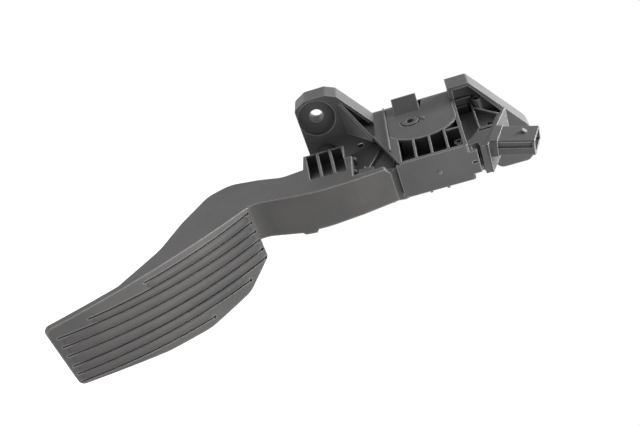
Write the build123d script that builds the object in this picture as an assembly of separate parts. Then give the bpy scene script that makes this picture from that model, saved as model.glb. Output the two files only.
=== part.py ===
from build123d import *
import math
import os

os.makedirs("parts", exist_ok=True)

# Accelerator pedal with its position sensor, as it hangs on the bulkhead of a car.
# The mounting plane is y = 0 and the driver is on the -Y side. +Z is up.
# The origin is the centre of the lower bolt hole, on the mounting plane.
# All sizes are in millimetres.

# Bracket and lower ear
BOLT_HOLE_R = 4.3
EAR_DEPTH = 14.0
EAR_FLOOR = 4.0
EAR_LEFT_X = -13.3
EAR_BOTTOM_Z = -11.7
SPOT_FACE_R = 11.6
SPOT_FACE_DEPTH = 4.0
RIM_WALL = 2.4
CORE_RIB = 1.6
CORE_SKIN = 5.0

# Housing box
SIDE_X = 13.4
HOUSING_WIDTH = 22.6
HOUSING_DEPTH = 76.0
HOUSING_TOP_Z = 83.6
SIDE_EDGE_Z = 32.8
FRONT_BOTTOM_Z = 44.4
SIDE_WALL = 2.4
FRONT_WALL = 2.0
GUSSET_WALL = 1.8
GUSSET_LEFT_X = -5.0
GUSSET_START_Z = 17.3
GUSSET_END_Y = -33.5
GUSSET_END_Z = 31.3
GUSSET_LAP = 1.2
FRONT_LIP_Z = 42.0

# Drum and the row of pockets in the side of the housing
DRUM_Y = -28.0
DRUM_Z = 61.0
DRUM_R = 24.0
DRUM_WALL = 2.0
COVER_LIP = 1.1
POCKET_DEPTH = 11.0
FAR_POCKET_DEPTH = 8.0
POCKET_RIB = 1.4
POCKET_COUNT = 4

# Pivot
PIVOT_Y = -27.0
PIVOT_Z = 55.0
PIN_R = 4.0
PIN_TIP_R = 2.2
BUSH_R = 6.0
BUSH_LENGTH = 3.2
BUSH_GAP = 0.05
HUB_R = 12.0
HUB_RING_R = 5.2
TRACK_R = 19.5

# Upper flange
UPPER_HOLE_X = 55.0
UPPER_HOLE_Z = 106.0
UPPER_BOSS_R = 10.5
FLANGE_RIGHT_X = 69.0
FLANGE_TOP_Z = 125.0
FLANGE_BEND_X = 45.5
FLANGE_LEFT_X = 5.2
TUBE_X = 19.1
TUBE_Y = -9.2
TUBE_Z = 96.9

# Pedal arm
TRAVEL_DEG = 15.0
ARM_WIDTH = 23.0
ARM_WALL = 2.8
ARM_RIB = 1.8
NECK_WIDTH = 7.6
STOP_BOX_Y = -33.4
STOP_BOX_DEPTH = 17.0
STOP_RIBS = 4
STOP_RIB = 1.7
STOP_RIB_LEAN = 5.5
APRON_TOP_Z = 38.4
TONGUE_TOP_Z = 41.8
BEAM_TOP_Z = 17.0
BUFFER_GAP = 0.3

# Pad
PAD_LENGTH = 131.8
PAD_TOP_WIDTH = 35.6
PAD_MAX_WIDTH = 53.4
PAD_END_WIDTH = 40.3
PAD_THICKNESS = 4.6
PAD_SAGITTA = 4.5
PAD_TOP_Y = -76.0
PAD_TOP_Z = -46.3
PAD_LEAN = 33.5
PAD_CORNER_R = 4.0
GROOVE_WIDTH = 0.8
GROOVE_DEPTH = 1.1
GROOVE_PITCH = 6.4
GROOVE_COUNT = 8
GROOVE_BOW = 3.6

# Springs
WIRE_R = 0.65
COIL_R = 13.5
COIL_PITCH = 1.4
COIL_TURNS = 2

# Sensor
SENSOR_DEPTH = 9.5
SENSOR_WALL = 1.5
LID_THICKNESS = 1.4
BOARD_THICKNESS = 1.2
COLLAR_LENGTH = 43.2
COLLAR_WIDTH = 18.6
COLLAR_THICKNESS = 1.6
COLLAR_TILT = 23.0
COLLAR_CANT = 2.0
ROOT_HEIGHT = 3.6
NECK_X = 21.8
NECK_BACK_Y = -15.0
NECK_FRONT_Y = -61.0
NECK_RIB = 1.0
NECK_RIB_Z = 92.7
PANEL_DEPTH = 3.0
HEAD_WALL_Z = 87.8
CONNECTOR_TILT = 20.0
CONNECTOR_CANT = 6.0
SHROUD_LENGTH = 20.8
SHROUD_WIDTH = 18.9
SHROUD_THICKNESS = 9.5
SHROUD_WALL = 1.3
SHROUD_GROOVE = 1.2
SOCKET_DEPTH = 16.4
TERMINAL_COUNT = 6
TERMINAL_PITCH = 2.4
TERMINAL_SIZE = 0.7
SCREW_R = 1.5
SCREW_HEAD_R = 3.0

# Places worked out from the sizes above
FAR_X = SIDE_X + HOUSING_WIDTH
FRONT_Y = -HOUSING_DEPTH
CAVITY_X0 = SIDE_X + SIDE_WALL
CAVITY_X1 = FAR_X - SIDE_WALL
NECK_X0 = (CAVITY_X0 + CAVITY_X1 - NECK_WIDTH) / 2
NECK_X1 = NECK_X0 + NECK_WIDTH
SENSOR_X1 = FAR_X + SENSOR_DEPTH
LID_X = SENSOR_X1 - LID_THICKNESS
BOARD_X = FAR_X + 6.1
SENSOR_SCREWS = [(-61.0, 79.5), (-6.6, 77.0), (-6.6, 44.0)]
CONNECTOR_BASE = (27.1, -56.8, 102.9)


def outline(points, rounds=None):
    """Flat polygon, with the corners named in rounds (index to radius) rounded."""
    shape = Polygon(*points, align=None)
    for index, radius in (rounds or {}).items():
        a, b = points[index]
        corner = shape.vertices().sort_by_distance((a, b, 0))[0]
        shape = fillet(corner, radius)
    return shape


def disc(a, b, radius):
    """Flat disc centred at (a, b)."""
    return Pos(a, b) * Circle(radius)


def along_x(shape, x0, x1):
    """Extrude a (y, z) shape from x0 to x1."""
    return extrude(Plane.YZ.offset(x0) * shape, x1 - x0, dir=(1, 0, 0))


def from_mount(shape, near, far):
    """Extrude an (x, z) shape between two depths in front of the mounting plane."""
    return extrude(Plane.XZ.offset(near) * shape, far - near, dir=(0, -1, 0))


def block(x0, x1, y0, y1, z0, z1):
    """Upright box between opposite corners."""
    return Pos(x0, y0, z0) * Box(x1 - x0, y1 - y0, z1 - z0, align=(Align.MIN, Align.MIN, Align.MIN))


def flat(a0, a1, b0, b1):
    """Flat rectangle between opposite corners."""
    return outline([(a0, b0), (a1, b0), (a1, b1), (a0, b1)])


def pivot_point(radius, degrees):
    """Point in (y, z) at a radius and angle from the pivot; zero degrees points to +Y."""
    angle = math.radians(degrees)
    return PIVOT_Y + radius * math.cos(angle), PIVOT_Z + radius * math.sin(angle)


def sector(inner, outer, start, end):
    """Flat ring sector round the pivot."""
    ring = disc(PIVOT_Y, PIVOT_Z, outer) - disc(PIVOT_Y, PIVOT_Z, inner)
    reach = 2 * outer
    middle = (start + end) / 2
    wedge = Polygon(
        (PIVOT_Y, PIVOT_Z), pivot_point(reach, start), pivot_point(reach, middle), pivot_point(reach, end),
        align=None,
    )
    return ring & wedge


def cover_outline(gap=0.0):
    """Straight-backed round cover over the drum, shrunk by a gap all round."""
    radius = DRUM_R - COVER_LIP - gap
    low = SIDE_EDGE_Z + 7.9 + gap
    high = HOUSING_TOP_Z - POCKET_RIB - gap
    shape = disc(DRUM_Y, DRUM_Z, radius) + flat(DRUM_Y, -1.6 - gap, low, high)
    return shape & flat(DRUM_Y - radius, 0, low, high)


def pocket_cells():
    """Flat cells of the pocket row, between the drum wall and the front wall."""
    low = FRONT_BOTTOM_Z + POCKET_RIB / 2
    pitch = (HOUSING_TOP_Z - POCKET_RIB - low) / POCKET_COUNT
    cells = []
    for index in range(POCKET_COUNT):
        bottom = low + index * pitch + POCKET_RIB / 2
        top = low + (index + 1) * pitch - POCKET_RIB / 2
        cell = flat(FRONT_Y + FRONT_WALL, DRUM_Y, bottom, top) - disc(DRUM_Y, DRUM_Z, DRUM_R)
        if index == POCKET_COUNT - 1:
            cell -= flat(-52.2, -52.2 + POCKET_RIB, bottom, top)
        cells.append(cell)
    return cells


def make_ear():
    """Lower bolt ear with its spot face, its rim and the cored back."""
    points = [
        (EAR_LEFT_X + 4.5, EAR_BOTTOM_Z), (FAR_X, EAR_BOTTOM_Z), (FAR_X, SIDE_EDGE_Z + 6),
        (SIDE_X, SIDE_EDGE_Z + 6), (SIDE_X, SIDE_EDGE_Z), (EAR_LEFT_X + 3, 15.7),
        (EAR_LEFT_X, 9), (EAR_LEFT_X, -3.7),
    ]
    ear = from_mount(outline(points, {0: 3, 1: 2, 5: 3, 6: 2, 7: 3}), 0, EAR_DEPTH)
    ear -= from_mount(disc(0, 0, SPOT_FACE_R), EAR_DEPTH - SPOT_FACE_DEPTH, EAR_DEPTH)
    ear -= from_mount(disc(0, 0, BOLT_HOLE_R), 0, EAR_DEPTH)
    left = EAR_LEFT_X + 3 + RIM_WALL * 2.2
    pocket = [
        (left, 17.4), (SIDE_X + 1, SIDE_EDGE_Z - 1.8), (SIDE_X + 1, 22), (GUSSET_LEFT_X + 7, 17.4),
    ]
    ear -= from_mount(outline(pocket, {0: 0.8}), EAR_FLOOR, EAR_DEPTH)
    columns = 2
    rows = 3
    x_low = 16.5
    z_low = EAR_BOTTOM_Z + RIM_WALL
    x_step = (FAR_X - RIM_WALL + CORE_RIB - x_low) / columns
    z_step = (SIDE_EDGE_Z - 2 - z_low) / rows
    for column in range(columns):
        for row in range(rows):
            x0 = x_low + column * x_step
            z0 = z_low + row * z_step
            cell = flat(x0, x0 + x_step - CORE_RIB, z0, z0 + z_step - CORE_RIB)
            ear -= from_mount(cell, 0, EAR_DEPTH - CORE_SKIN)
    return ear


def make_gusset():
    """Sloping flange from the ear to the side of the box, widest at the ear."""
    end_y = GUSSET_END_Y - GUSSET_LAP
    rise = (GUSSET_END_Z - GUSSET_START_Z) / (-EAR_DEPTH - GUSSET_END_Y)
    end_z = GUSSET_END_Z + GUSSET_LAP * rise
    wall = outline([
        (-EAR_DEPTH, GUSSET_START_Z), (end_y, end_z), (end_y, end_z - GUSSET_WALL),
        (-EAR_DEPTH, GUSSET_START_Z - GUSSET_WALL),
    ])
    flange = along_x(wall, GUSSET_LEFT_X, CAVITY_X0)
    keep = outline([
        (GUSSET_LEFT_X, -EAR_DEPTH), (SIDE_X, GUSSET_END_Y), (SIDE_X, end_y), (CAVITY_X0, end_y),
        (CAVITY_X0, -EAR_DEPTH),
    ])
    return flange & extrude(keep, FRONT_BOTTOM_Z + 5, dir=(0, 0, 1))


def make_box():
    """Housing box round the drum, with the pocket row and the open throat for the arm."""
    walls = [
        (0, SIDE_EDGE_Z), (0, HOUSING_TOP_Z), (FRONT_Y, HOUSING_TOP_Z), (FRONT_Y, FRONT_BOTTOM_Z),
        (GUSSET_END_Y, GUSSET_END_Z), (GUSSET_END_Y + 1, SIDE_EDGE_Z),
    ]
    box = along_x(outline(walls, {2: 1.5}), SIDE_X, FAR_X)
    web = outline([
        (-EAR_DEPTH + 1, SIDE_EDGE_Z + 1), (GUSSET_END_Y, SIDE_EDGE_Z + 1),
        (GUSSET_END_Y, GUSSET_END_Z - 0.6), (-EAR_DEPTH + 1, GUSSET_START_Z - 1),
    ])
    box += along_x(web, SIDE_X + 1.0, CAVITY_X0)
    box += along_x(web, CAVITY_X1, FAR_X)
    cavity = disc(DRUM_Y, DRUM_Z, DRUM_R - DRUM_WALL)
    cavity += disc(PIVOT_Y, PIVOT_Z, TRACK_R) & flat(PIVOT_Y, 0, 38, 69)
    track = flat(-15.0, 0, 40, 69.0) + flat(-14.6, 0, 68, 77)
    cavity -= track - disc(PIVOT_Y, PIVOT_Z, TRACK_R)
    low = FRONT_BOTTOM_Z - GUSSET_WALL
    throat = outline([
        (-EAR_DEPTH, 10), (-EAR_DEPTH, 44), (-27, 52), (-48.9, 54), (-46.8, low), (FRONT_Y - 4, low),
        (FRONT_Y - 4, 10),
    ])
    box -= along_x(cavity + throat, CAVITY_X0, CAVITY_X1)
    for cell in pocket_cells():
        box -= along_x(cell, SIDE_X, SIDE_X + POCKET_DEPTH)
        box -= along_x(cell, FAR_X - FAR_POCKET_DEPTH, FAR_X)
    corner = outline([
        (-61, 76.6), (FRONT_Y + 1, 82.0), (FRONT_Y + 1, HOUSING_TOP_Z - 1), (-57, HOUSING_TOP_Z - 1),
    ])
    return box + along_x(corner, SIDE_X + 4.2, SIDE_X + POCKET_DEPTH)


def make_upper_flange():
    """Flange with the second bolt hole, a recessed floor, two ledges and a tube boss."""
    step_z = HOUSING_TOP_Z + 5.4
    left_z = HOUSING_TOP_Z + 10.9
    points = [
        (FLANGE_LEFT_X, HOUSING_TOP_Z - RIM_WALL), (FAR_X, HOUSING_TOP_Z - RIM_WALL), (FAR_X, step_z),
        (UPPER_HOLE_X + 6, UPPER_HOLE_Z - 11), (FLANGE_RIGHT_X, UPPER_HOLE_Z - 4),
        (FLANGE_RIGHT_X, FLANGE_TOP_Z - 5), (UPPER_HOLE_X + 9, FLANGE_TOP_Z),
        (FLANGE_BEND_X, FLANGE_TOP_Z),
        (FLANGE_LEFT_X, left_z),
    ]
    rounds = {3: 6, 4: 5, 5: 4, 6: 5, 7: 12, 8: 2}
    flange = from_mount(outline(points, rounds), 0, EAR_DEPTH)
    left = FLANGE_LEFT_X + RIM_WALL
    right = 31.0
    slope = (FLANGE_TOP_Z - left_z) / (FLANGE_BEND_X - FLANGE_LEFT_X)
    rim_z = left_z - 0.6
    pocket = outline([
        (left, HOUSING_TOP_Z + 0.4), (right, HOUSING_TOP_Z + 0.4),
        (right, rim_z - RIM_WALL / 2 + slope * (right - left)), (left, rim_z),
    ], {3: 1})
    flange -= from_mount(pocket, EAR_FLOOR, EAR_DEPTH)
    flange += from_mount(flat(18, right, HOUSING_TOP_Z, TUBE_Z - 3), 0, EAR_FLOOR + 2.6)
    flange += from_mount(flat(22, right, HOUSING_TOP_Z, TUBE_Z - 6), 0, EAR_FLOOR + 5.2)
    flange += block(NECK_X, right + 0.5, -EAR_DEPTH, -EAR_FLOOR + 1, NECK_RIB_Z, NECK_RIB_Z + NECK_RIB)
    core = outline([
        (right + RIM_WALL, step_z + 2), (FAR_X - 0.5, step_z + 2), (UPPER_HOLE_X + 5, UPPER_HOLE_Z - 8.4),
        (FLANGE_RIGHT_X - RIM_WALL, UPPER_HOLE_Z - 3), (FLANGE_RIGHT_X - RIM_WALL, FLANGE_TOP_Z - 6),
        (UPPER_HOLE_X + 8, FLANGE_TOP_Z - RIM_WALL), (FLANGE_BEND_X + 0.9, FLANGE_TOP_Z - RIM_WALL),
        (right + RIM_WALL, rim_z - 2.4 + slope * (right - left)),
    ])
    flange -= from_mount(core - disc(UPPER_HOLE_X, UPPER_HOLE_Z, UPPER_BOSS_R - 2), 0, EAR_DEPTH - CORE_SKIN)
    flange += along_x(disc(TUBE_Y, TUBE_Z, 3.0), TUBE_X, right + 0.5)
    flange += block(TUBE_X + 2, right + 0.5, TUBE_Y, -EAR_FLOOR + 1, TUBE_Z - 0.8, TUBE_Z + 0.8)
    flange -= along_x(disc(TUBE_Y, TUBE_Z, 1.9), TUBE_X, TUBE_X + 8)
    flange -= from_mount(disc(UPPER_HOLE_X, UPPER_HOLE_Z, BOLT_HOLE_R), 0, EAR_DEPTH)
    return flange


def make_head_wall():
    """Front wall carried on above the box, with a narrow slit and two small webs behind it."""
    left = SIDE_X + 4.9
    right = FAR_X - 3.4
    wall = block(left, right, FRONT_Y, FRONT_Y + FRONT_WALL, HOUSING_TOP_Z - 2, HEAD_WALL_Z)
    for x in (left, right - 1.4):
        wall += block(x, x + 1.4, FRONT_Y + 1, FRONT_Y + 6, HOUSING_TOP_Z - 1, HOUSING_TOP_Z + 2)
    return wall - block(24.6, 25.8, FRONT_Y, FRONT_Y + 1.2, HOUSING_TOP_Z + 0.2, HOUSING_TOP_Z + 3)


def make_housing():
    """Bracket and housing, one moulding."""
    body = make_ear() + make_box() + make_gusset() + make_upper_flange()
    body -= along_x(cover_outline(), SIDE_X - 1, CAVITY_X0)
    rail = flat(-58, -1.0, SIDE_EDGE_Z + 6.8, SIDE_EDGE_Z + 7.9)
    body += along_x(rail, SIDE_X - 1.3, CAVITY_X0 - 0.5)
    skirt = outline([
        (SIDE_X + 1, FRONT_BOTTOM_Z + 1), (SIDE_X + 1, FRONT_LIP_Z), (FAR_X - 2.5, FRONT_LIP_Z),
        (FAR_X, FRONT_BOTTOM_Z), (FAR_X, FRONT_BOTTOM_Z + 1),
    ])
    body += from_mount(skirt, HOUSING_DEPTH - FRONT_WALL, HOUSING_DEPTH)
    body += make_head_wall()
    for y, z in SENSOR_SCREWS:
        body += along_x(disc(y, z, 2.7), SIDE_X + 4.2, FAR_X)
        body -= along_x(disc(y, z, SCREW_R), SIDE_X + 4.2, FAR_X)
    body -= along_x(disc(PIVOT_Y, PIVOT_Z, BUSH_R), CAVITY_X1 - 1, FAR_X)
    body -= along_x(disc(PIVOT_Y, PIVOT_Z, 10.6) - disc(PIVOT_Y, PIVOT_Z, 9.0), FAR_X - 1.0, FAR_X)
    for z in (56.5, 66.5):
        body += block(FAR_X, FAR_X + 1.2, FRONT_Y + 0.4, FRONT_Y + 3, z, z + 1.6)
    body += from_mount(Pos(25.5, 64.7) * RegularPolygon(1.2, 8), HOUSING_DEPTH - 1, HOUSING_DEPTH + 0.5)
    seat = disc(25.0, 0.0, 6.2)
    body -= from_mount(seat, EAR_DEPTH - 1.5, EAR_DEPTH)
    body -= from_mount(flat(25.0, 27.6, 18.9, 22.4), EAR_DEPTH - CORE_SKIN - 1, EAR_DEPTH)
    return body


def make_cover():
    """Side cover with the lifting tab, the hub ring and the seat for the bush."""
    cover = along_x(cover_outline(0.15), SIDE_X, CAVITY_X0)
    back = -1.75
    tab = outline([(SIDE_X, back - 12.4), (SIDE_X - 5.8, back), (SIDE_X, back)])
    cover += Pos(0, 0, 46.2) * extrude(tab, 15.7, dir=(0, 0, 1))
    notch = outline([(back + 1, 61.9), (back + 1, 64.4), (back - 10, 62.6)])
    cover -= along_x(notch, SIDE_X - 1, CAVITY_X0)
    cover += along_x(disc(PIVOT_Y, PIVOT_Z, BUSH_R + 2), CAVITY_X0, CAVITY_X0 + 1.8)
    groove = disc(PIVOT_Y, PIVOT_Z, HUB_RING_R + 1.2) - disc(PIVOT_Y, PIVOT_Z, HUB_RING_R)
    cover -= along_x(groove, SIDE_X, SIDE_X + 0.7)
    cover += along_x(disc(PIVOT_Y, PIVOT_Z, HUB_RING_R), SIDE_X - 0.4, SIDE_X + 0.5)
    bush_x = CAVITY_X0 + 1.8 - BUSH_LENGTH
    cover -= along_x(disc(PIVOT_Y, PIVOT_Z, BUSH_R), bush_x, CAVITY_X0 + 1.8)
    cover -= along_x(disc(PIVOT_Y, PIVOT_Z, PIN_TIP_R + 0.3), SIDE_X - 1, bush_x)
    return cover + along_x(Pos(-27.5, 62.9) * RegularPolygon(1.1, 8), SIDE_X - 0.8, SIDE_X + 0.5)


def make_pin():
    """Steel pivot pin with a turned-down tip at the cover side."""
    start = CAVITY_X0 + 1.8 - BUSH_LENGTH
    pin = along_x(disc(PIVOT_Y, PIVOT_Z, PIN_R), start + 0.2, FAR_X + 1.8)
    pin += along_x(disc(PIVOT_Y, PIVOT_Z, PIN_TIP_R), SIDE_X + 0.4, start + 0.2)
    return pin - along_x(Pos(PIVOT_Y, PIVOT_Z) * RegularPolygon(1.5, 6), SIDE_X, SIDE_X + 2.4)


def make_bush(x0, x1):
    """Plain bush round the pivot pin."""
    ring = disc(PIVOT_Y, PIVOT_Z, BUSH_R) - disc(PIVOT_Y, PIVOT_Z, PIN_R + BUSH_GAP)
    return along_x(ring, x0, x1)


def arm_outline(inset=0.0):
    """Side outline of the beam and of the web behind the pad, in (y, z)."""
    points = [
        (-79.6, BEAM_TOP_Z), (-80.6, -4), (-78.2, -20), (-73.6, -44), (-125, -120), (-97, -98), (-73, -87.5),
        (-49.5, -73.5), (-42.4, -60), (-46.6, -41), (-52, -26), (-50, -13), (-50, BEAM_TOP_Z),
    ]
    rounds = {1: 40, 2: 40, 3: 15, 5: 40, 6: 40, 7: 14, 8: 14, 9: 30, 10: 14}
    shape = outline(points, rounds)
    return offset(shape, -inset) if inset else shape


def pad_plane():
    """Plane of the pad's chord: x runs across, y runs down the pad, z points to the bulkhead."""
    lean = math.radians(PAD_LEAN)
    down = Vector(0, -math.sin(lean), -math.cos(lean))
    across = Vector(1, 0, 0)
    return Plane(origin=(SIDE_X, PAD_TOP_Y, PAD_TOP_Z), x_dir=across, z_dir=across.cross(down))


def pad_outline():
    """Leaf-shaped outline of the pad, on its chord plane."""
    points = [
        (0, 0), (PAD_TOP_WIDTH, 0), (PAD_MAX_WIDTH - 4.7, 19), (PAD_MAX_WIDTH, 50), (PAD_MAX_WIDTH - 2.6, 78),
        (PAD_END_WIDTH, PAD_LENGTH - 2.8), (0, PAD_LENGTH),
    ]
    rounds = {0: 1.5, 1: 3, 2: 14, 3: 30, 4: 50, 5: PAD_CORNER_R, 6: PAD_CORNER_R}
    return outline(points, rounds)


def pad_strip(front, back):
    """Curved strip of the pad seen from the side, between two depths behind its face."""
    lean = math.radians(PAD_LEAN)
    down = (-math.sin(lean), -math.cos(lean))
    into = (math.cos(lean), -math.sin(lean))

    def place(share, depth):
        bulge = 4 * PAD_SAGITTA * share * (1 - share)
        along = PAD_LENGTH * share
        return (
            PAD_TOP_Y + down[0] * along + into[0] * (depth - bulge),
            PAD_TOP_Z + down[1] * along + into[1] * (depth - bulge),
        )

    near = ThreePointArc(place(-0.02, front), place(0.5, front), place(1.02, front))
    far = ThreePointArc(place(-0.02, back), place(0.5, back), place(1.02, back))
    return make_face([near, Line(near @ 1, far @ 1), far, Line(far @ 0, near @ 0)])


def pad_grooves():
    """Cutters for the lengthwise grooves, each ending in a small round pit at the top."""
    plane = pad_plane()
    cutters = []
    leans = [0.01, -0.035, -0.07, -0.07, -0.07, -0.065, -0.08, -0.12]
    starts = [1.8] * (GROOVE_COUNT - 2) + [16.5, 46.0]
    ends = [74.0, 109.0] + [PAD_LENGTH - 4.0] * (GROOVE_COUNT - 2)
    for index in range(GROOVE_COUNT):
        top = (3.4 + GROOVE_PITCH * index, starts[index])
        length = ends[index] - starts[index]
        foot = (top[0] + leans[index] * length, ends[index])
        bow = GROOVE_BOW * (length / PAD_LENGTH) ** 2
        middle = ((top[0] + foot[0]) / 2 + bow, (top[1] + foot[1]) / 2)
        path = ThreePointArc(top, middle, foot)
        slot = trace(path, GROOVE_WIDTH) + Pos(top[0], top[1]) * RegularPolygon(GROOVE_WIDTH * 1.3, 6)
        cutters.append(extrude(plane * slot, 20, both=True))
    skin = along_x(pad_strip(-1.0, GROOVE_DEPTH), SIDE_X - 5, SIDE_X + PAD_MAX_WIDTH + 5)
    return [cutter & skin for cutter in cutters]


def make_pad():
    """Grooved pad plate."""
    plate = along_x(pad_strip(0, PAD_THICKNESS), SIDE_X - 1, SIDE_X + PAD_MAX_WIDTH + 1)
    plate &= extrude(pad_plane() * pad_outline(), 30, both=True)
    for cutter in pad_grooves():
        plate -= cutter
    return plate


def make_beam():
    """Open-backed beam: a closed side and front, with slanted ribs inside."""
    shape = arm_outline()
    beam = along_x(shape, SIDE_X, SIDE_X + ARM_WIDTH + 6)
    core = along_x(arm_outline(ARM_WALL), SIDE_X + ARM_WALL, SIDE_X + ARM_WIDTH + 7)
    core -= block(SIDE_X, SIDE_X + ARM_WIDTH / 2, -70, -40, -16, 20)
    rib_zs = [4, -10, -24, -38, -52, -66, -80, -94]
    for number, z in enumerate(rib_zs):
        tilt = 32 if number % 2 else -32
        rib = Pos(0, -70, z) * Rot(tilt, 0, 0) * Box(200, 130, ARM_RIB)
        core -= rib
    beam -= core
    apron = outline([
        (-76.8, APRON_TOP_Z), (-79.6, BEAM_TOP_Z), (-79.6, BEAM_TOP_Z - 2), (-74, BEAM_TOP_Z - 2),
        (-74, APRON_TOP_Z),
    ], {0: 0.6})
    beam += along_x(apron, SIDE_X, SIDE_X + ARM_WIDTH + 6)
    tongue = outline([
        (SIDE_X + 3.5, APRON_TOP_Z - 3), (SIDE_X + 3.5, TONGUE_TOP_Z), (FAR_X + 0.3, TONGUE_TOP_Z),
        (FAR_X + 0.3, TONGUE_TOP_Z + 2.4), (FAR_X + 1.5, TONGUE_TOP_Z + 2.4), (FAR_X + 2, TONGUE_TOP_Z),
        (FAR_X + 1.3, APRON_TOP_Z - 3),
    ])
    right = [
        (SIDE_X - 1, 34.6), (SIDE_X + 1.9, 36.6), (SIDE_X + 3.4, APRON_TOP_Z + 0.1),
        (SIDE_X + 22.2, APRON_TOP_Z + 0.1), (SIDE_X + 24.9, -11),
        (SIDE_X + 27, -12.5), (SIDE_X + 27, -19.5), (SIDE_X + 25.6, -21), (SIDE_X + 23.4, -46),
        (SIDE_X + 22, -130), (SIDE_X - 1, -130),
    ]
    beam &= from_mount(outline(right), 0, 200)
    return beam + from_mount(tongue, 71.6, 73.6) + block(SIDE_X + 3.5, FAR_X + 1.3, -75, -71.6, 34.4, 35.6)


def make_stop_box():
    """Box behind the arm that meets the ear at full travel, with ramped side pockets."""
    low = -13.0
    high = low + 25.4
    box = block(SIDE_X, SIDE_X + ARM_WIDTH - 1, STOP_BOX_Y - STOP_BOX_DEPTH, STOP_BOX_Y, low, high)
    box -= block(
        SIDE_X + ARM_WIDTH / 2, SIDE_X + ARM_WIDTH, STOP_BOX_Y - STOP_BOX_DEPTH, STOP_BOX_Y - ARM_RIB,
        low + ARM_RIB, high - ARM_RIB,
    )
    return box


def stop_box_pockets():
    """Cutters for the pockets of the stop box. Each floor ramps out to the side of the arm."""
    low = -13.0
    high = low + 25.4
    pitch = (high - low - STOP_RIB) / (STOP_RIBS - 1)
    back = STOP_BOX_Y - 1.2
    ramp = outline([
        (SIDE_X - 1, back - 32), (SIDE_X, back - 32), (SIDE_X + 9, back - 6), (SIDE_X + 9, back),
        (SIDE_X - 1, back),
    ])
    cutters = []
    for index in range(STOP_RIBS - 1):
        cell = extrude(ramp, pitch - STOP_RIB, dir=(0, 0, 1))
        turn = Pos(0, back, 0) * Rot(-STOP_RIB_LEAN, 0, 0) * Pos(0, -back, 0)
        cutters.append(Pos(0, 0, low + STOP_RIB + index * pitch) * turn * cell)
    return cutters


def make_neck():
    """Neck and hub that carry the arm on the pivot pin, with the spring seats."""
    neck_outline = outline([
        (-38, 62), (-17, 47), (-34, BEAM_TOP_Z - 3), (-78, BEAM_TOP_Z - 3), (-75.5, 28), (-62, 40.5),
        (-46.6, 40.5), (-41.6, 48),
    ], {1: 4, 4: 3, 6: 3})
    neck = along_x(neck_outline, NECK_X0, NECK_X1)
    neck += along_x(disc(PIVOT_Y, PIVOT_Z, HUB_R), CAVITY_X0 + 2.3, CAVITY_X1 - 0.4)
    seat = outline([(-67, 20), (-63, 20), (-63, 29), (-67, 29)], {2: 1, 3: 1})
    neck += along_x(seat, NECK_X0 - 4, NECK_X1 + 4)
    neck += along_x(sector(HUB_R - 1, 14.6, -18, 18), NECK_X0, NECK_X1)
    neck += along_x(sector(HUB_R - 1, 17.0, -22, -18.2) + sector(HUB_R - 1, 17.0, 18.2, 22), NECK_X0, NECK_X1)
    for y, z in ((-46.7, 17.4), (-62.0, 17.2)):
        neck += along_x(Pos(y, z) * RegularPolygon(1.5, 8), NECK_X0 - 4, NECK_X0 + 1)
    return neck - along_x(disc(PIVOT_Y, PIVOT_Z, PIN_R), CAVITY_X0, CAVITY_X1)


def make_arm():
    """Pedal arm with its hub, stop box and pad, one moulding."""
    arm = make_beam() + make_stop_box() + make_neck() + make_pad()
    for cutter in stop_box_pockets():
        arm -= cutter
    return arm


def make_shoe():
    """Friction shoe that rides on the hub and rubs on the track in the housing."""
    return along_x(sector(14.6, TRACK_R - 0.25, -18, 18), NECK_X0 + 0.5, NECK_X1 - 0.5)


def make_spring():
    """Torsion spring on the cover side: a coil round the hub and two straight legs."""
    x_arm = NECK_X0 - WIRE_R - 1.1
    foot = (-62.3, 24.0)
    anchor = (-16.2, 74.0)

    def tangent(point, side):
        dy = point[0] - PIVOT_Y
        dz = point[1] - PIVOT_Z
        spread = math.degrees(math.acos(COIL_R / math.hypot(dy, dz)))
        return math.degrees(math.atan2(dz, dy)) + side * spread

    start = tangent(foot, 1)
    end = tangent(anchor, -1)
    turn = (end - start) % 360 + 360 * (COIL_TURNS - 1)
    width = COIL_PITCH * turn / 360
    angle = math.radians(start)
    frame = Plane(
        origin=(x_arm, PIVOT_Y, PIVOT_Z), x_dir=(0, math.cos(angle), math.sin(angle)), z_dir=(-1, 0, 0),
    )
    helix = frame * Helix(COIL_PITCH, width, COIL_R, lefthand=True)
    knee = helix @ 0 - (helix % 0) * math.dist(foot, pivot_point(COIL_R, start))
    tail = helix @ 1 + (helix % 1) * math.dist(anchor, pivot_point(COIL_R, end))
    hook = FilletPolyline((knee.X - 3.4, knee.Y, knee.Z), knee, helix @ 0, radius=1.2)
    path = Wire(hook.edges() + helix.edges() + Line(helix @ 1, tail).edges())
    return sweep(Plane(path @ 0, z_dir=path % 0) * RegularPolygon(WIRE_R, 8), path)


def make_rest_buffer():
    """Rubber block under the box that the arm leans on at rest."""
    low = FRONT_BOTTOM_Z - GUSSET_WALL
    return block(NECK_X0, NECK_X1, -60.5, -52, 40.5 + BUFFER_GAP, low)


def make_stop_buffer():
    """Rubber button on the ear that the stop box meets at full travel."""
    button = from_mount(disc(25.0, 0.0, 6.2), EAR_DEPTH - 1.5, EAR_DEPTH + 10)
    turn = math.radians(TRAVEL_DEG)
    reach_y = STOP_BOX_Y - PIVOT_Y
    reach_z = -PIVOT_Z
    face_y = PIVOT_Y + reach_y * math.cos(turn) - reach_z * math.sin(turn)
    face_z = PIVOT_Z + reach_y * math.sin(turn) + reach_z * math.cos(turn)
    front = Pos(0, face_y, face_z) * Rot(TRAVEL_DEG, 0, 0) * Pos(0, BUFFER_GAP, 0)
    keep = front * Box(100, 60, 100, align=(Align.CENTER, Align.MIN, Align.CENTER))
    return button & keep


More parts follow.
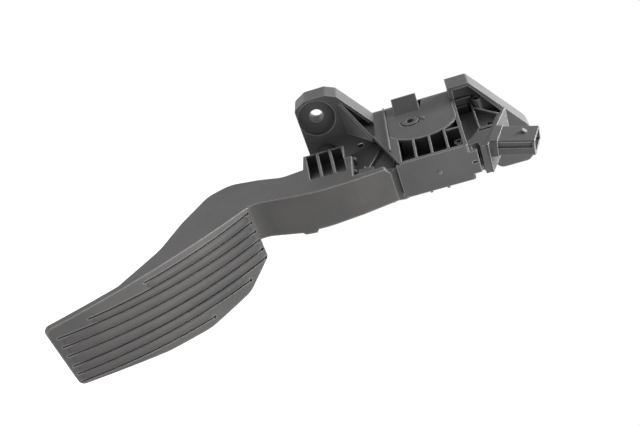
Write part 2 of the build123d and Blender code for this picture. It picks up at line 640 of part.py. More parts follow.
def connector_plane(height=0.0, tilt=CONNECTOR_TILT, cant=CONNECTOR_CANT):
    """Plane across the plug axis: x along the thin side, y along the wide side, z out of the socket."""
    tilt = math.radians(tilt)
    cant = math.radians(cant)
    out = Vector(math.sin(cant), -math.sin(tilt) * math.cos(cant), math.cos(tilt) * math.cos(cant))
    across = Vector(math.cos(cant), math.sin(tilt) * math.sin(cant), -math.cos(tilt) * math.sin(cant))
    return Plane(origin=CONNECTOR_BASE, x_dir=across, z_dir=out).offset(height)


def sensor_outline(inset=0.0):
    """Outline of the electronics tray in (y, z)."""
    points = [
        (-57, 39), (-3.6, 39), (-3.6, 81.5), (-15, 86), (-15, 97), (-40, 97), (-52, 92), (-52, 84), (-57, 79),
    ]
    rounds = {0: 4, 1: 4, 2: 3, 4: 3, 5: 3, 6: 3}
    shape = outline(points, rounds)
    return offset(shape, -inset) if inset else shape


def rounded_block(plane, width, length, radius, height):
    """Rounded rectangular block that rises from a plane."""
    return extrude(plane * RectangleRounded(width, length, radius), height)


def square_bar(start, end, size):
    """Square bar between two points, a little longer at both ends."""
    along = (end - start).normalized()
    begin = start - along * size / 2
    return extrude(Plane(origin=begin, z_dir=along) * Rectangle(size, size), (end - start).length + size)


def make_terminals():
    """Square terminals from the socket through the neck to the board."""
    plane = connector_plane()
    tip_z = SHROUD_LENGTH - SOCKET_DEPTH + 10.0
    pins = []
    for index in range(TERMINAL_COUNT):
        side = (index - (TERMINAL_COUNT - 1) / 2) * TERMINAL_PITCH
        tip = plane.from_local_coords(Vector(0, side + SHROUD_GROOVE / 2, tip_z))
        knee = plane.from_local_coords(Vector(0, side + SHROUD_GROOVE / 2, -8.0))
        landing = Vector(BOARD_X - 2.5, side - 43.0, 87.5)
        end = Vector(BOARD_X + BOARD_THICKNESS + 0.1, landing.Y, landing.Z)
        pin = square_bar(tip, knee, TERMINAL_SIZE)
        pin += square_bar(knee, landing, TERMINAL_SIZE)
        pins.append(pin + square_bar(landing, end, TERMINAL_SIZE))
    return pins


def make_shroud():
    """Plug shroud on its thicker root, with its socket, side groove and latch nose."""
    plane = connector_plane()
    shroud = rounded_block(plane, SHROUD_THICKNESS, SHROUD_WIDTH, 1.6, SHROUD_LENGTH)
    root = connector_plane(-ROOT_HEIGHT - COLLAR_THICKNESS + 0.4)
    height = ROOT_HEIGHT + COLLAR_THICKNESS - 0.4
    shroud += rounded_block(root, SHROUD_THICKNESS + 1.0, SHROUD_WIDTH + 0.8, 1.6, height)
    groove = Box(3.4, 2 * SHROUD_GROOVE, SHROUD_LENGTH - 1.2, align=(Align.MIN, Align.CENTER, Align.MIN))
    shroud -= plane.location * Pos(0.7 - SHROUD_THICKNESS / 2, -SHROUD_WIDTH / 2, 0) * groove
    nose = Plane.XZ * outline([(0.5, 11.4), (-1.6, 11.8), (-1.6, 12.6), (0.5, 15.8)])
    nose = Pos(-SHROUD_THICKNESS / 2, 3.3, 0) * extrude(nose, 2.8, dir=(0, -1, 0))
    shroud += plane.location * nose
    socket = extrude(
        connector_plane(SHROUD_LENGTH - SOCKET_DEPTH) * Pos(0, SHROUD_GROOVE / 2) * RectangleRounded(
            SHROUD_THICKNESS - 2 * SHROUD_WALL, SHROUD_WIDTH - 2 * SHROUD_WALL - SHROUD_GROOVE, 1.2,
        ), SOCKET_DEPTH,
    )
    return shroud - socket


def make_collar():
    """Collar plate below the root of the shroud, with two slits."""
    plane = connector_plane(-ROOT_HEIGHT - COLLAR_THICKNESS, COLLAR_TILT, COLLAR_CANT)
    left = -SHROUD_THICKNESS / 2 - 0.7
    near = -SHROUD_WIDTH / 2 - 3.2
    corner = (Align.MIN, Align.MIN, Align.MIN)
    slab = Pos(left, near, 0) * Box(COLLAR_WIDTH, COLLAR_LENGTH, COLLAR_THICKNESS, align=corner)
    slab -= Pos(left + 4.4, near + 1.8, 0) * Box(11.0, 0.9, COLLAR_THICKNESS, align=corner)
    slab -= Pos(left + 4.6, near + COLLAR_LENGTH - 2.0, 0) * Box(4.4, 0.9, COLLAR_THICKNESS, align=corner)
    return plane.location * slab


def make_sensor_neck():
    """Neck from the box to the collar: a rib, two recessed panels and a lug under the collar."""
    low = HOUSING_TOP_Z + 0.2
    foot_y = -55.4
    shape = outline([
        (NECK_BACK_Y, low), (NECK_BACK_Y, 94.0), (-33, 107.6), (-66.4, 93.4), (-66.4, 90.4),
        (NECK_FRONT_Y, 89.6), (NECK_FRONT_Y, low),
    ])
    neck = along_x(shape, NECK_X, FAR_X + 1)
    lug = outline([(-66.4, 90.2), (-66.4, 93.4), (NECK_FRONT_Y, 95.7), (NECK_FRONT_Y, 89.6)])
    neck += along_x(lug, NECK_X + 1, 40.0)
    below = outline([
        (NECK_BACK_Y, low), (NECK_BACK_Y, NECK_RIB_Z), (-43.4, NECK_RIB_Z), (-47.5, 91.0), (foot_y, 85.6),
        (foot_y, low),
    ])
    above = outline([
        (NECK_BACK_Y - 1.4, NECK_RIB_Z + NECK_RIB), (-32.6, 105.8), (-43.4, 101.2),
        (-43.4, NECK_RIB_Z + NECK_RIB),
    ])
    neck -= along_x(below + above, NECK_X, NECK_X + PANEL_DEPTH)
    neck -= along_x(flat(-47.6, -45.8, NECK_RIB_Z - 0.4, 100.2), NECK_X, NECK_X + 2.2)
    window = outline([(-34, 99.4), (-36.2, 103.6), (-42.4, 100.8), (-42.4, 95.6)])
    neck -= along_x(window, NECK_X, NECK_X + 8)
    clip = outline([(-36.0, 100.4), (-36.6, 101.8), (-42.8, 99.8), (-42.8, 98.6)])
    neck += along_x(clip, NECK_X + 4.4, NECK_X + 8)
    return neck - block(NECK_X + 5, FAR_X - 4, NECK_FRONT_Y, NECK_FRONT_Y + 5, HOUSING_TOP_Z + 1.4, 89.0)


def make_sensor_housing(terminals):
    """Sensor carrier: tray, neck, collar and plug shroud, one moulding."""
    tray = along_x(sensor_outline(), FAR_X, LID_X)
    body = tray + make_sensor_neck() + make_collar() + make_shroud()
    body -= along_x(sensor_outline(SENSOR_WALL), FAR_X + SENSOR_WALL, LID_X)
    for y, z in SENSOR_SCREWS:
        body += along_x(disc(y, z, 4.6), FAR_X, FAR_X + 2.2)
        body -= along_x(disc(y, z, SCREW_R), FAR_X, FAR_X + 2.2)
        body -= along_x(disc(y, z, SCREW_HEAD_R + 0.6), FAR_X + 2.2, SENSOR_X1)
    for y, z in ((-52, 46), (-10, 60), (-24, 93)):
        body += along_x(disc(y, z, 1.8), FAR_X + SENSOR_WALL, BOARD_X)
    body -= along_x(disc(PIVOT_Y, PIVOT_Z, 7.4), FAR_X, FAR_X + SENSOR_WALL)
    body -= block(-20, 100, -EAR_DEPTH - 0.3, 5, HOUSING_TOP_Z, 140)
    body -= block(-20, FAR_X, -100, 5, 0, HOUSING_TOP_Z + 0.2)
    for pin in terminals:
        body -= pin
    return body


def make_lid():
    """Flat lid over the electronics tray."""
    lid = along_x(sensor_outline(), LID_X, SENSOR_X1)
    for y, z in SENSOR_SCREWS:
        lid -= along_x(disc(y, z, SCREW_HEAD_R + 0.6), LID_X, SENSOR_X1)
    return lid


def make_board(terminals):
    """Circuit board across the end of the pivot."""
    board = along_x(sensor_outline(SENSOR_WALL + 0.4), BOARD_X, BOARD_X + BOARD_THICKNESS)
    for y, z in SENSOR_SCREWS:
        board -= along_x(disc(y, z, SCREW_HEAD_R + 2.4), BOARD_X - 1, SENSOR_X1)
    for pin in terminals:
        board -= pin
    return board


def make_screw(y, z):
    """Self-tapping screw through the sensor carrier into its boss."""
    head_x = FAR_X + 2.2
    screw = along_x(disc(y, z, SCREW_R), FAR_X - 9, head_x)
    screw += along_x(disc(y, z, SCREW_HEAD_R), head_x, head_x + 2)
    socket = Pos(y, z) * RegularPolygon(1.4, 6)
    return screw - along_x(socket, head_x + 0.9, head_x + 2)


def save(name, solids):
    """Write one node; a list of solids is written as a group."""
    shape = Compound(children=list(solids)) if isinstance(solids, list) else solids
    export_step(shape, "parts/" + name + ".step")


def main():
    terminals = make_terminals()
    spring = make_spring()
    middle = Plane.YZ.offset((NECK_X0 + NECK_X1) / 2)
    save("pedal_housing", make_housing())
    save("pivot_cover", make_cover())
    save("pivot_pin", make_pin())
    save("cover_side_bush", make_bush(CAVITY_X0 + 1.8 - BUSH_LENGTH, CAVITY_X0 + 1.8))
    save("sensor_side_bush", make_bush(FAR_X - BUSH_LENGTH + 0.4, FAR_X))
    save("pedal_arm", make_arm())
    save("friction_shoe", make_shoe())
    save("cover_side_spring", spring)
    save("sensor_side_spring", mirror(spring, middle))
    save("rest_buffer", make_rest_buffer())
    save("stop_buffer", make_stop_buffer())
    magnet_x = FAR_X + 3.4
    holder = along_x(disc(PIVOT_Y, PIVOT_Z, 6.4), FAR_X + 0.4, magnet_x)
    holder -= along_x(disc(PIVOT_Y, PIVOT_Z, PIN_R), FAR_X, FAR_X + 1.8)
    save("magnet_holder", holder)
    save("sensor_magnet", along_x(disc(PIVOT_Y, PIVOT_Z, 4.6), magnet_x, magnet_x + 1.6))
    save("sensor_housing", make_sensor_housing(terminals))
    save("sensor_lid", make_lid())
    save("circuit_board", make_board(terminals))
    chips = [block(BOARD_X - 0.6, BOARD_X, PIVOT_Y + y - 1.6, PIVOT_Y + y + 1.6, PIVOT_Z - 2, PIVOT_Z + 2)
             for y in (-2.2, 2.2)]
    save("hall_sensors", chips)
    parts = [block(BOARD_X - 1.2, BOARD_X, y, y + 2.6, z, z + 1.6)
             for y, z in ((-40, 76), (-40, 80), (-32, 84), (-32, 80), (-24, 78), (-44, 60))]
    save("board_capacitors", parts)
    save("connector_pins", terminals)
    seal = disc(PIVOT_Y, PIVOT_Z, 10.6) - disc(PIVOT_Y, PIVOT_Z, 9.0)
    save("sensor_seal", along_x(seal, FAR_X - 1.0, FAR_X))
    save("sensor_screws", [make_screw(y, z) for y, z in SENSOR_SCREWS])


main()
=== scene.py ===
import math

import bmesh
import bpy
from mathutils import Matrix, Vector


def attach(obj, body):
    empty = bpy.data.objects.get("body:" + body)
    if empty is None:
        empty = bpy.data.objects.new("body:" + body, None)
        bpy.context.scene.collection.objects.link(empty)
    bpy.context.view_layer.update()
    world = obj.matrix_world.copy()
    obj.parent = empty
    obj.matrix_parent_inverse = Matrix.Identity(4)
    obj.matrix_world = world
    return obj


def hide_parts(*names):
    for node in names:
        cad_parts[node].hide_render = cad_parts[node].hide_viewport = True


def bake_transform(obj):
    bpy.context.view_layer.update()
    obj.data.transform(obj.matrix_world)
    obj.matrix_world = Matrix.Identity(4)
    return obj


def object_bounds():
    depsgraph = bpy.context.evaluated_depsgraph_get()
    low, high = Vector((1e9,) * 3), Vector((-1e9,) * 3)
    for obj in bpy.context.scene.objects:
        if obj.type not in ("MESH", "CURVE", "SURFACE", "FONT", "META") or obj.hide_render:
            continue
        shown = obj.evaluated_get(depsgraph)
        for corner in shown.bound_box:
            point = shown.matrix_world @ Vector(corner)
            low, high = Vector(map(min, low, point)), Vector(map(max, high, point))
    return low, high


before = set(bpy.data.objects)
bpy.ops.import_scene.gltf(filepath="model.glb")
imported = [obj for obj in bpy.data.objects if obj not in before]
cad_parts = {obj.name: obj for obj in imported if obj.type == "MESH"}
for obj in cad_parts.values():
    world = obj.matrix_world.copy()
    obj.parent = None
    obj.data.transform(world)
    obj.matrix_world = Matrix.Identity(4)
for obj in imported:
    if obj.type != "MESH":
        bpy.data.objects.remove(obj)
cad_box = [list(corner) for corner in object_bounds()]


# Node helpers

def start_material(name):
    """New material with an empty node tree and its output."""
    material = bpy.data.materials.new(name)
    material.use_nodes = True
    tree = material.node_tree
    tree.nodes.clear()
    output = tree.nodes.new("ShaderNodeOutputMaterial")
    return material, tree, output


def add(tree, kind, **settings):
    """New node with its settings; a setting with a capital letter goes to the socket of that name."""
    node = tree.nodes.new(kind)
    for key, value in settings.items():
        if key[0].isupper():
            node.inputs[key.replace("_", " ")].default_value = value
        else:
            setattr(node, key, value)
    return node


def place_on_part(tree, scale=(1.0, 1.0, 1.0), turn=(0.0, 0.0, 0.0)):
    """Object coordinates through a Mapping node."""
    coordinates = add(tree, "ShaderNodeTexCoord")
    mapping = add(tree, "ShaderNodeMapping")
    mapping.inputs["Scale"].default_value = scale
    mapping.inputs["Rotation"].default_value = turn
    tree.links.new(coordinates.outputs["Object"], mapping.inputs["Vector"])
    return mapping.outputs["Vector"]


def speckle(tree, vector, scale, detail=3.0, roughness=0.6):
    """Noise between 0 and 1."""
    noise = add(tree, "ShaderNodeTexNoise", Scale=scale, Detail=detail, Roughness=roughness)
    tree.links.new(vector, noise.inputs["Vector"])
    return noise.outputs["Fac"]


def colours(tree, factor, stops):
    """Colour ramp over a factor; stops are (place, colour)."""
    ramp = add(tree, "ShaderNodeValToRGB")
    elements = ramp.color_ramp.elements
    while len(elements) < len(stops):
        elements.new(0.5)
    for element, (place, colour) in zip(elements, stops):
        element.position = place
        element.color = (*colour, 1.0)
    tree.links.new(factor, ramp.inputs["Fac"])
    return ramp.outputs["Color"]


def stretch(tree, factor, low, high):
    """Maps a 0 to 1 factor to a range."""
    spread = add(tree, "ShaderNodeMapRange", To_Min=low, To_Max=high)
    tree.links.new(factor, spread.inputs["Value"])
    return spread.outputs["Result"]


def blend_colours(tree, factor, first, second, mode="MIX"):
    """Mixes two colour sockets."""
    mix = add(tree, "ShaderNodeMix", data_type="RGBA", blend_type=mode)
    if isinstance(factor, float):
        mix.inputs[0].default_value = factor
    else:
        tree.links.new(factor, mix.inputs[0])
    tree.links.new(first, mix.inputs[6])
    tree.links.new(second, mix.inputs[7])
    return mix.outputs[2]


def seen_by(tree, *rays):
    """1 where one of the named kinds of ray arrives, else 0."""
    path = add(tree, "ShaderNodeLightPath")
    factor = path.outputs[rays[0]]
    for ray in rays[1:]:
        either = add(tree, "ShaderNodeMath", operation="MAXIMUM")
        tree.links.new(factor, either.inputs[0])
        tree.links.new(path.outputs[ray], either.inputs[1])
        factor = either.outputs[0]
    return factor


def raised(tree, heights, edge_radius):
    """Bump from (height socket, strength, distance) on top of softened edges."""
    edge = add(tree, "ShaderNodeBevel", samples=6, Radius=edge_radius)
    normal = edge.outputs["Normal"]
    for height, strength, distance in heights:
        bump = add(tree, "ShaderNodeBump", Strength=strength, Distance=distance)
        tree.links.new(height, bump.inputs["Height"])
        tree.links.new(normal, bump.inputs["Normal"])
        normal = bump.outputs["Normal"]
    return normal


def paint_edge_highlights(tree, colour, pale, band):
    """Painted highlight: paler along outer edges, standing in for the light that the rounded edges of the
    moulding catch. The band is the width to look across, and how far the softened and the true face
    directions agree where the paleness starts and where it is full."""
    width, start, full = band
    softened = add(tree, "ShaderNodeBevel", samples=6, Radius=width)
    true_face = add(tree, "ShaderNodeNewGeometry")
    agreement = add(tree, "ShaderNodeVectorMath", operation="DOT_PRODUCT")
    tree.links.new(softened.outputs["Normal"], agreement.inputs[0])
    tree.links.new(true_face.outputs["Normal"], agreement.inputs[1])
    edge = add(tree, "ShaderNodeMapRange", From_Min=start, From_Max=full)
    tree.links.new(agreement.outputs["Value"], edge.inputs["Value"])
    shelter = add(tree, "ShaderNodeAmbientOcclusion", samples=6, Distance=0.0015)
    open_side = add(tree, "ShaderNodeMapRange", From_Min=0.7, From_Max=0.95)
    tree.links.new(shelter.outputs["AO"], open_side.inputs["Value"])
    outer = add(tree, "ShaderNodeMath", operation="MULTIPLY")
    tree.links.new(edge.outputs["Result"], outer.inputs[0])
    tree.links.new(open_side.outputs["Result"], outer.inputs[1])
    mix = add(tree, "ShaderNodeMix", data_type="RGBA")
    tree.links.new(outer.outputs["Value"], mix.inputs[0])
    tree.links.new(colour, mix.inputs[6])
    mix.inputs[7].default_value = (pale, pale, pale, 1.0)
    return mix.outputs[2]


def surface(tree, output, colour, roughness, normal, metallic=0.0, **settings):
    """Principled shader fed by the sockets given."""
    shader = add(tree, "ShaderNodeBsdfPrincipled", Metallic=metallic, **settings)
    tree.links.new(colour, shader.inputs["Base Color"])
    tree.links.new(roughness, shader.inputs["Roughness"])
    tree.links.new(normal, shader.inputs["Normal"])
    tree.links.new(shader.outputs["BSDF"], output.inputs["Surface"])


# Finishes

# Widths and thresholds of the painted edge highlights.
NARROW_BAND = (0.0005, 0.99, 0.85)
MIDDLE_BAND = (0.0012, 0.97, 0.8)
WIDE_BAND = (0.002, 0.95, 0.76)


def glass_filled_plastic(name, dark, light, grain, gloss, edge_radius=0.0007, edge_highlight_tone=None,
                         band=MIDDLE_BAND):
    """Matte moulding: fine eroded grain, soft blotches, short fibre streaks near the skin and, with an
    edge tone, a painted highlight that pales the outer edges."""
    material, tree, output = start_material(name)
    plain = place_on_part(tree)
    along_flow = place_on_part(tree, scale=(1.0, 1.0, 0.22), turn=(0.5, 0.0, 0.0))
    blotches = speckle(tree, plain, 45.0, 4.0)
    streaks = speckle(tree, along_flow, 900.0, 3.0, 0.65)
    fine = speckle(tree, plain, grain, 4.0, 0.7)
    coarse = speckle(tree, plain, grain * 0.35, 2.0)
    base = colours(tree, blotches, [(0.3, dark), (0.72, light)])
    fibre = colours(tree, streaks, [(0.35, (0.86, 0.86, 0.86)), (0.75, (1.1, 1.1, 1.1))])
    colour = blend_colours(tree, 0.25, base, fibre, "MULTIPLY")
    # Painted highlight: paler outer edges, standing in for the light the rounded edges catch.
    if edge_highlight_tone:
        colour = paint_edge_highlights(tree, colour, edge_highlight_tone, band)
    roughness = stretch(tree, coarse, gloss - 0.07, gloss + 0.09)
    normal = raised(tree, [(fine, 0.22, 0.00012), (coarse, 0.12, 0.0002)], edge_radius)
    surface(tree, output, colour, roughness, normal, IOR=1.4)
    return material


def turned_steel(name, dark, light, gloss):
    """Ground and plated steel with fine lines round the turning axis."""
    material, tree, output = start_material(name)
    lines = place_on_part(tree, scale=(1.0, 0.06, 0.06))
    plain = place_on_part(tree)
    scratches = speckle(tree, lines, 5200.0, 2.0)
    cloud = speckle(tree, plain, 220.0, 3.0)
    colour = colours(tree, cloud, [(0.3, dark), (0.7, light)])
    roughness = stretch(tree, scratches, gloss - 0.08, gloss + 0.12)
    normal = raised(tree, [(scratches, 0.08, 0.00003)], 0.0001)
    surface(tree, output, colour, roughness, normal, metallic=1.0)
    return material


def soft_rubber(name, dark, light):
    """Moulded rubber with a dull, slightly dusty skin."""
    material, tree, output = start_material(name)
    plain = place_on_part(tree)
    dust = speckle(tree, plain, 160.0, 4.0)
    skin = speckle(tree, plain, 2600.0, 2.0)
    colour = colours(tree, dust, [(0.35, dark), (0.8, light)])
    roughness = stretch(tree, dust, 0.72, 0.9)
    normal = raised(tree, [(skin, 0.15, 0.00008)], 0.0003)
    surface(tree, output, colour, roughness, normal, IOR=1.45)
    return material


def solder_mask(name):
    """Green board with slightly raised copper tracks under the mask."""
    material, tree, output = start_material(name)
    across = place_on_part(tree, scale=(0.0, 1.0, 1.0))
    tracks = add(tree, "ShaderNodeTexWave", wave_type="BANDS", bands_direction="DIAGONAL", Scale=110.0,
                 Distortion=6.0, Detail=1.0)
    tree.links.new(across, tracks.inputs["Vector"])
    weave = speckle(tree, across, 1500.0, 2.0)
    colour = colours(tree, tracks.outputs["Fac"], [(0.62, (0.02, 0.1, 0.045)), (0.74, (0.05, 0.2, 0.09))])
    roughness = stretch(tree, weave, 0.25, 0.4)
    normal = raised(tree, [(tracks.outputs["Fac"], 0.2, 0.00004)], 0.0001)
    surface(tree, output, colour, roughness, normal, IOR=1.5)
    return material


def fired_ceramic(name):
    """Small chip capacitor body, speckled tan."""
    material, tree, output = start_material(name)
    plain = place_on_part(tree)
    grains = speckle(tree, plain, 3000.0, 3.0)
    colour = colours(tree, grains, [(0.35, (0.42, 0.3, 0.2)), (0.7, (0.6, 0.47, 0.33))])
    roughness = stretch(tree, grains, 0.35, 0.5)
    normal = raised(tree, [(grains, 0.1, 0.00003)], 0.0001)
    surface(tree, output, colour, roughness, normal)
    return material


# The housing, pedal and sensor mouldings get painted highlights along their outer edges (edge tones 0.45,
# 0.4 and 0.65).
housing_plastic = glass_filled_plastic(
    "housing_plastic", (0.082, 0.081, 0.082), (0.108, 0.106, 0.106), 2400.0, 0.46, edge_highlight_tone=0.45)
pedal_plastic = glass_filled_plastic(
    "pedal_plastic", (0.083, 0.081, 0.08), (0.11, 0.106, 0.104), 2000.0, 0.48, edge_highlight_tone=0.4, band=WIDE_BAND)
rib_plastic = glass_filled_plastic(
    "rib_plastic", (0.077, 0.075, 0.074), (0.104, 0.1, 0.098), 1700.0, 0.49)
sensor_plastic = glass_filled_plastic(
    "sensor_plastic", (0.08, 0.079, 0.08), (0.1, 0.099, 0.1), 3000.0, 0.42, 0.0005, 0.65, NARROW_BAND)
bearing_plastic = glass_filled_plastic(
    "bearing_plastic", (0.4, 0.37, 0.31), (0.52, 0.49, 0.42), 3200.0, 0.4, 0.0002)
chip_plastic = glass_filled_plastic(
    "chip_plastic", (0.02, 0.02, 0.02), (0.035, 0.035, 0.036), 4000.0, 0.42, 0.0001)
plated_steel = turned_steel("plated_steel", (0.52, 0.53, 0.55), (0.66, 0.67, 0.68), 0.28)
dark_steel = turned_steel("dark_steel", (0.05, 0.05, 0.052), (0.09, 0.09, 0.092), 0.4)
spring_wire = turned_steel("spring_wire", (0.34, 0.34, 0.36), (0.48, 0.48, 0.5), 0.34)
nickel_plate = turned_steel("nickel_plate", (0.5, 0.48, 0.45), (0.64, 0.62, 0.58), 0.22)
tinned_brass = turned_steel("tinned_brass", (0.68, 0.66, 0.6), (0.82, 0.8, 0.74), 0.26)
buffer_rubber = soft_rubber("buffer_rubber", (0.03, 0.03, 0.031), (0.06, 0.06, 0.06))
board_green = solder_mask("board_green")
capacitor_body = fired_ceramic("capacitor_body")

FINISHES = {
    "pedal_housing": housing_plastic,
    "pivot_cover": housing_plastic,
    "pivot_pin": dark_steel,
    "cover_side_bush": bearing_plastic,
    "sensor_side_bush": bearing_plastic,
    "pedal_arm": pedal_plastic,
    "friction_shoe": bearing_plastic,
    "cover_side_spring": spring_wire,
    "sensor_side_spring": spring_wire,
    "rest_buffer": buffer_rubber,
    "stop_buffer": buffer_rubber,
    "magnet_holder": sensor_plastic,
    "sensor_magnet": nickel_plate,
    "sensor_housing": sensor_plastic,
    "sensor_lid": sensor_plastic,
    "circuit_board": board_green,
    "hall_sensors": chip_plastic,
    "board_capacitors": capacitor_body,
    "connector_pins": tinned_brass,
    "sensor_seal": buffer_rubber,
    "sensor_screws": plated_steel,
}
for node_name, finish in FINISHES.items():
    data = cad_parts[node_name].data
    data.materials.clear()
    data.materials.append(finish)


# New pieces Their sizes and places are the part's own, in millimetres.

PAD_TOP = (13.4, -76.0, -46.3)
PAD_LENGTH = 131.8
PAD_SAGITTA = 4.5
PAD_LEAN = math.radians(33.5)
FIRST_GROOVE = 3.4
GROOVE_PITCH = 6.4
GROOVE_BOW = 3.6
GROOVE_LEANS = (0.01, -0.035, -0.07, -0.07, -0.07, -0.065, -0.08, -0.12)
GROOVE_STARTS = (1.8, 1.8, 1.8, 1.8, 1.8, 1.8, 16.5, 46.0)
GROOVE_ENDS = (74.0, 109.0, 127.8, 127.8, 127.8, 127.8, 127.8, 127.8)
RIB_CROWN = 0.38
RIB_SINK = 0.06
RIB_WALL = 0.6
RIB_SIDE_GAP = 0.42
RIB_END_GAP = 0.4
RIB_FADE = 1 / 16


def groove_across(number, down):
    """How far across the pad a groove is, at a distance down the pad."""
    length = GROOVE_ENDS[number] - GROOVE_STARTS[number]
    share = (down - GROOVE_STARTS[number]) / length
    bow = GROOVE_BOW * (length / PAD_LENGTH) ** 2
    lean = GROOVE_LEANS[number] * length * share
    return FIRST_GROOVE + GROOVE_PITCH * number + lean + 4 * bow * share * (1 - share)


def on_pad(across, down, height):
    """Point in metres over the curved face of the pad."""
    share = down / PAD_LENGTH
    rise = 4 * PAD_SAGITTA * share * (1 - share) + height
    y = PAD_TOP[1] - math.sin(PAD_LEAN) * down - math.cos(PAD_LEAN) * rise
    z = PAD_TOP[2] - math.cos(PAD_LEAN) * down + math.sin(PAD_LEAN) * rise
    return Vector((PAD_TOP[0] + across, y, z)) * 0.001


def finish_piece(name, data, material, body):
    """Object for a mesh, with its finish, riding on a body."""
    piece = bpy.data.objects.new(name, data)
    bpy.context.scene.collection.objects.link(piece)
    data.materials.append(material)
    if body:
        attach(piece, body)
    return piece


def rib_height(side, share):
    """Height of a rib over the pad: crowned from side to side (-1 to 1), and fading out at both ends."""
    fade = min(1.0, share / RIB_FADE, (1 - share) / RIB_FADE)
    fade = fade * fade * (3 - 2 * fade)
    return (RIB_CROWN + RIB_SINK) * (1 - side ** 2) * fade - RIB_SINK


def crown_pad_ribs():
    """Low crowned ribs between the grooves of the pad."""
    shell = bmesh.new()
    for number in range(len(GROOVE_LEANS) - 1):
        top = max(GROOVE_STARTS[number], GROOVE_STARTS[number + 1]) + RIB_END_GAP
        foot = min(GROOVE_ENDS[number], GROOVE_ENDS[number + 1]) - RIB_END_GAP
        grid = bmesh.ops.create_grid(shell, x_segments=8, y_segments=44, size=1.0)
        for vertex in grid["verts"]:
            side = vertex.co.x
            share = (vertex.co.y + 1) / 2
            down = top + (foot - top) * share
            left = groove_across(number, down) + RIB_SIDE_GAP
            right = groove_across(number + 1, down) - RIB_SIDE_GAP
            across = left + (right - left) * (side + 1) / 2
            vertex.co = on_pad(across, down, rib_height(side, share))
    bmesh.ops.recalc_face_normals(shell, faces=shell.faces)
    shell.normal_update()
    out_of_pad = Vector((0.0, -math.cos(PAD_LEAN), math.sin(PAD_LEAN)))
    turned = [face for face in shell.faces if face.normal.dot(out_of_pad) < 0]
    bmesh.ops.reverse_faces(shell, faces=turned)
    for face in shell.faces:
        face.smooth = True
    data = bpy.data.meshes.new("pad_ribs")
    shell.to_mesh(data)
    shell.free()
    piece = finish_piece("pad_ribs", data, rib_plastic, "pedal")
    wall = piece.modifiers.new("wall", "SOLIDIFY")
    wall.thickness = RIB_WALL * 0.001
    wall.offset = -1.0


PIVOT = Vector((-27.0, 55.0))
SPRING_FOOT = Vector((-62.3, 24.0))
SPRING_ANCHOR = Vector((-16.2, 74.0))
COIL_R = 13.5
COIL_PITCH = 1.4
COIL_TURNS = 2
WIRE_R = 0.65
HOOK_REACH = 3.4
KNEE_R = 1.1
KNEE_CUT = 0.35


def coil_tangent(point, side):
    """Angle on the coil at which a leg to a point leaves it."""
    reach = point - PIVOT
    return math.atan2(reach.y, reach.x) + side * math.acos(COIL_R / reach.length)


def leg_length(point):
    """Length of the straight leg from the coil to a point."""
    return math.sqrt((point - PIVOT).length_squared - COIL_R ** 2)


def spring_line(x_arm, outward):
    """Points of the wire: a hook in the arm, a straight leg, the coil, and a straight leg to the housing."""
    start = coil_tangent(SPRING_FOOT, 1)
    turn = (coil_tangent(SPRING_ANCHOR, -1) - start) % math.tau + math.tau * (COIL_TURNS - 1)
    lead = outward * COIL_PITCH / math.tau
    steps = 30 * COIL_TURNS
    coil = []
    for step in range(steps + 1):
        angle = start + turn * step / steps
        x = x_arm + lead * turn * step / steps
        coil.append(Vector((x, PIVOT.x + COIL_R * math.cos(angle), PIVOT.y + COIL_R * math.sin(angle))))
    knee = Vector((x_arm - lead * leg_length(SPRING_FOOT) / COIL_R, *SPRING_FOOT))
    end = Vector((coil[-1].x + lead * leg_length(SPRING_ANCHOR) / COIL_R, *SPRING_ANCHOR))
    along = (coil[0] - knee).normalized()
    sideways = Vector((outward, 0.0, 0.0))
    bend = knee + (sideways + along) * KNEE_CUT
    hook = [knee + sideways * HOOK_REACH, knee + sideways * KNEE_R, bend, knee + along * KNEE_R]
    return [*hook, *coil, end]


def wind_spring(name, node, x_arm, outward):
    """Round-wire torsion spring in place of the plain one, running from the housing to the arm."""
    wire = bpy.data.curves.new(name, "CURVE")
    wire.dimensions = "3D"
    wire.bevel_depth = WIRE_R * 0.001
    wire.bevel_resolution = 3
    wire.use_fill_caps = True
    points = spring_line(x_arm, outward)
    line = wire.splines.new("POLY")
    line.points.add(len(points) - 1)
    for place, point in zip(line.points, points):
        place.co = (*(point * 0.001), 1.0)
    holder = bpy.data.objects.new(name + "_wire", wire)
    bpy.context.scene.collection.objects.link(holder)
    bpy.context.view_layer.update()
    data = bpy.data.meshes.new_from_object(holder)
    data.name = name
    bpy.data.objects.remove(holder)
    data.polygons.foreach_set("use_smooth", [True] * len(data.polygons))
    piece = finish_piece(name, data, spring_wire, None)
    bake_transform(piece)
    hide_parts(node)


crown_pad_ribs()
wind_spring("cover_side_wire", "cover_side_spring", 19.15, -1)
wind_spring("sensor_side_wire", "sensor_side_spring", 30.25, 1)


# Floor, light and camera

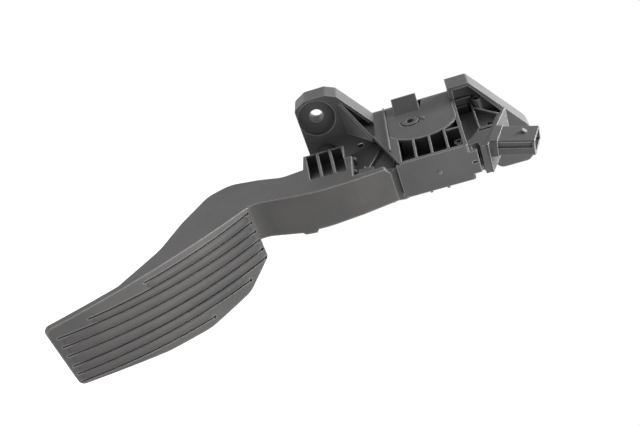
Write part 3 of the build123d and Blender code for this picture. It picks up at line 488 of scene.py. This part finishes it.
def lay_floor():
    """Pale floor below the hanging pedal. The camera and reflections see it at the backdrop's white."""
    sheet = bmesh.new()
    below = Matrix.Translation((0.0, 0.0, cad_box[0][2] - 0.14))
    bmesh.ops.create_grid(sheet, x_segments=1, y_segments=1, size=4.0, matrix=below)
    data = bpy.data.meshes.new("pale_floor")
    sheet.to_mesh(data)
    sheet.free()
    floor = bpy.data.objects.new("pale_floor", data)
    bpy.context.scene.collection.objects.link(floor)
    material, tree, output = start_material("pale_floor")
    matte = add(tree, "ShaderNodeBsdfDiffuse", Color=(0.4, 0.4, 0.4, 1.0))
    glow = add(tree, "ShaderNodeEmission", Color=(1.0, 1.0, 1.0, 1.0), Strength=0.97)
    dark = add(tree, "ShaderNodeEmission", Strength=0.0)
    pick = add(tree, "ShaderNodeMixShader")
    tree.links.new(seen_by(tree, "Is Camera Ray", "Is Glossy Ray"), pick.inputs[0])
    tree.links.new(dark.outputs[0], pick.inputs[1])
    tree.links.new(glow.outputs[0], pick.inputs[2])
    both = add(tree, "ShaderNodeAddShader")
    tree.links.new(matte.outputs[0], both.inputs[0])
    tree.links.new(pick.outputs[0], both.inputs[1])
    tree.links.new(both.outputs[0], output.inputs["Surface"])
    data.materials.append(material)


def light_world():
    """White for camera and gloss, a plain soft grey for everything it lights."""
    world = bpy.data.worlds.new("soft_studio")
    bpy.context.scene.world = world
    world.use_nodes = True
    tree = world.node_tree
    tree.nodes.clear()
    output = tree.nodes.new("ShaderNodeOutputWorld")
    ambient = add(tree, "ShaderNodeBackground", Color=(0.95, 0.97, 1.0, 1.0), Strength=0.1)
    white = add(tree, "ShaderNodeBackground", Color=(1.0, 1.0, 1.0, 1.0), Strength=1.0)
    pick = add(tree, "ShaderNodeMixShader")
    tree.links.new(seen_by(tree, "Is Camera Ray", "Is Glossy Ray", "Is Transmission Ray"), pick.inputs[0])
    tree.links.new(ambient.outputs[0], pick.inputs[1])
    tree.links.new(white.outputs[0], pick.inputs[2])
    tree.links.new(pick.outputs[0], output.inputs["Surface"])


PART_MIDDLE = Vector((0.02, -0.06, 0.0))


def hang_lamp(name, toward, distance, size, power):
    """Soft square lamp in a direction from the middle of the part, turned to face it."""
    lamp = bpy.data.lights.new(name, "AREA")
    lamp.size = size
    lamp.energy = power
    holder = bpy.data.objects.new(name, lamp)
    direction = Vector(toward).normalized()
    holder.location = PART_MIDDLE + direction * distance
    holder.rotation_euler = direction.to_track_quat("Z", "Y").to_euler()
    bpy.context.scene.collection.objects.link(holder)


CAMERA_PLACE = (-0.243, -0.55584, 0.07504)
CAMERA_RIGHT = (0.30434, -0.00851, 0.95253)
CAMERA_FORWARD = (0.48911, 0.85947, -0.14859)
FOCAL_LENGTH_PX = 965.0
PICTURE_WIDTH_PX = 640.0
SENSOR_WIDTH_MM = 36.0


def set_camera():
    """Camera where the photograph was taken from; the part lies on its side in the picture."""
    forward = Vector(CAMERA_FORWARD).normalized()
    up = Vector(CAMERA_RIGHT).cross(forward).normalized()
    right = forward.cross(up)
    camera_data = bpy.data.cameras.new("photo_camera")
    camera_data.sensor_width = SENSOR_WIDTH_MM
    camera_data.lens = SENSOR_WIDTH_MM * FOCAL_LENGTH_PX / PICTURE_WIDTH_PX
    camera_data.clip_start = 0.01
    camera = bpy.data.objects.new("photo_camera", camera_data)
    turn = Matrix((right, up, -forward)).transposed()
    camera.matrix_world = Matrix.Translation(CAMERA_PLACE) @ turn.to_4x4()
    bpy.context.scene.collection.objects.link(camera)
    bpy.context.scene.camera = camera


lay_floor()
light_world()
hang_lamp("top_lamp", (-0.15, 0.35, 0.9), 1.0, 0.5, 24.0)
hang_lamp("front_lamp", (0.2, -0.68, 0.7), 0.55, 0.4, 2.9)
set_camera()
bpy.context.scene.view_settings.view_transform = "Standard"
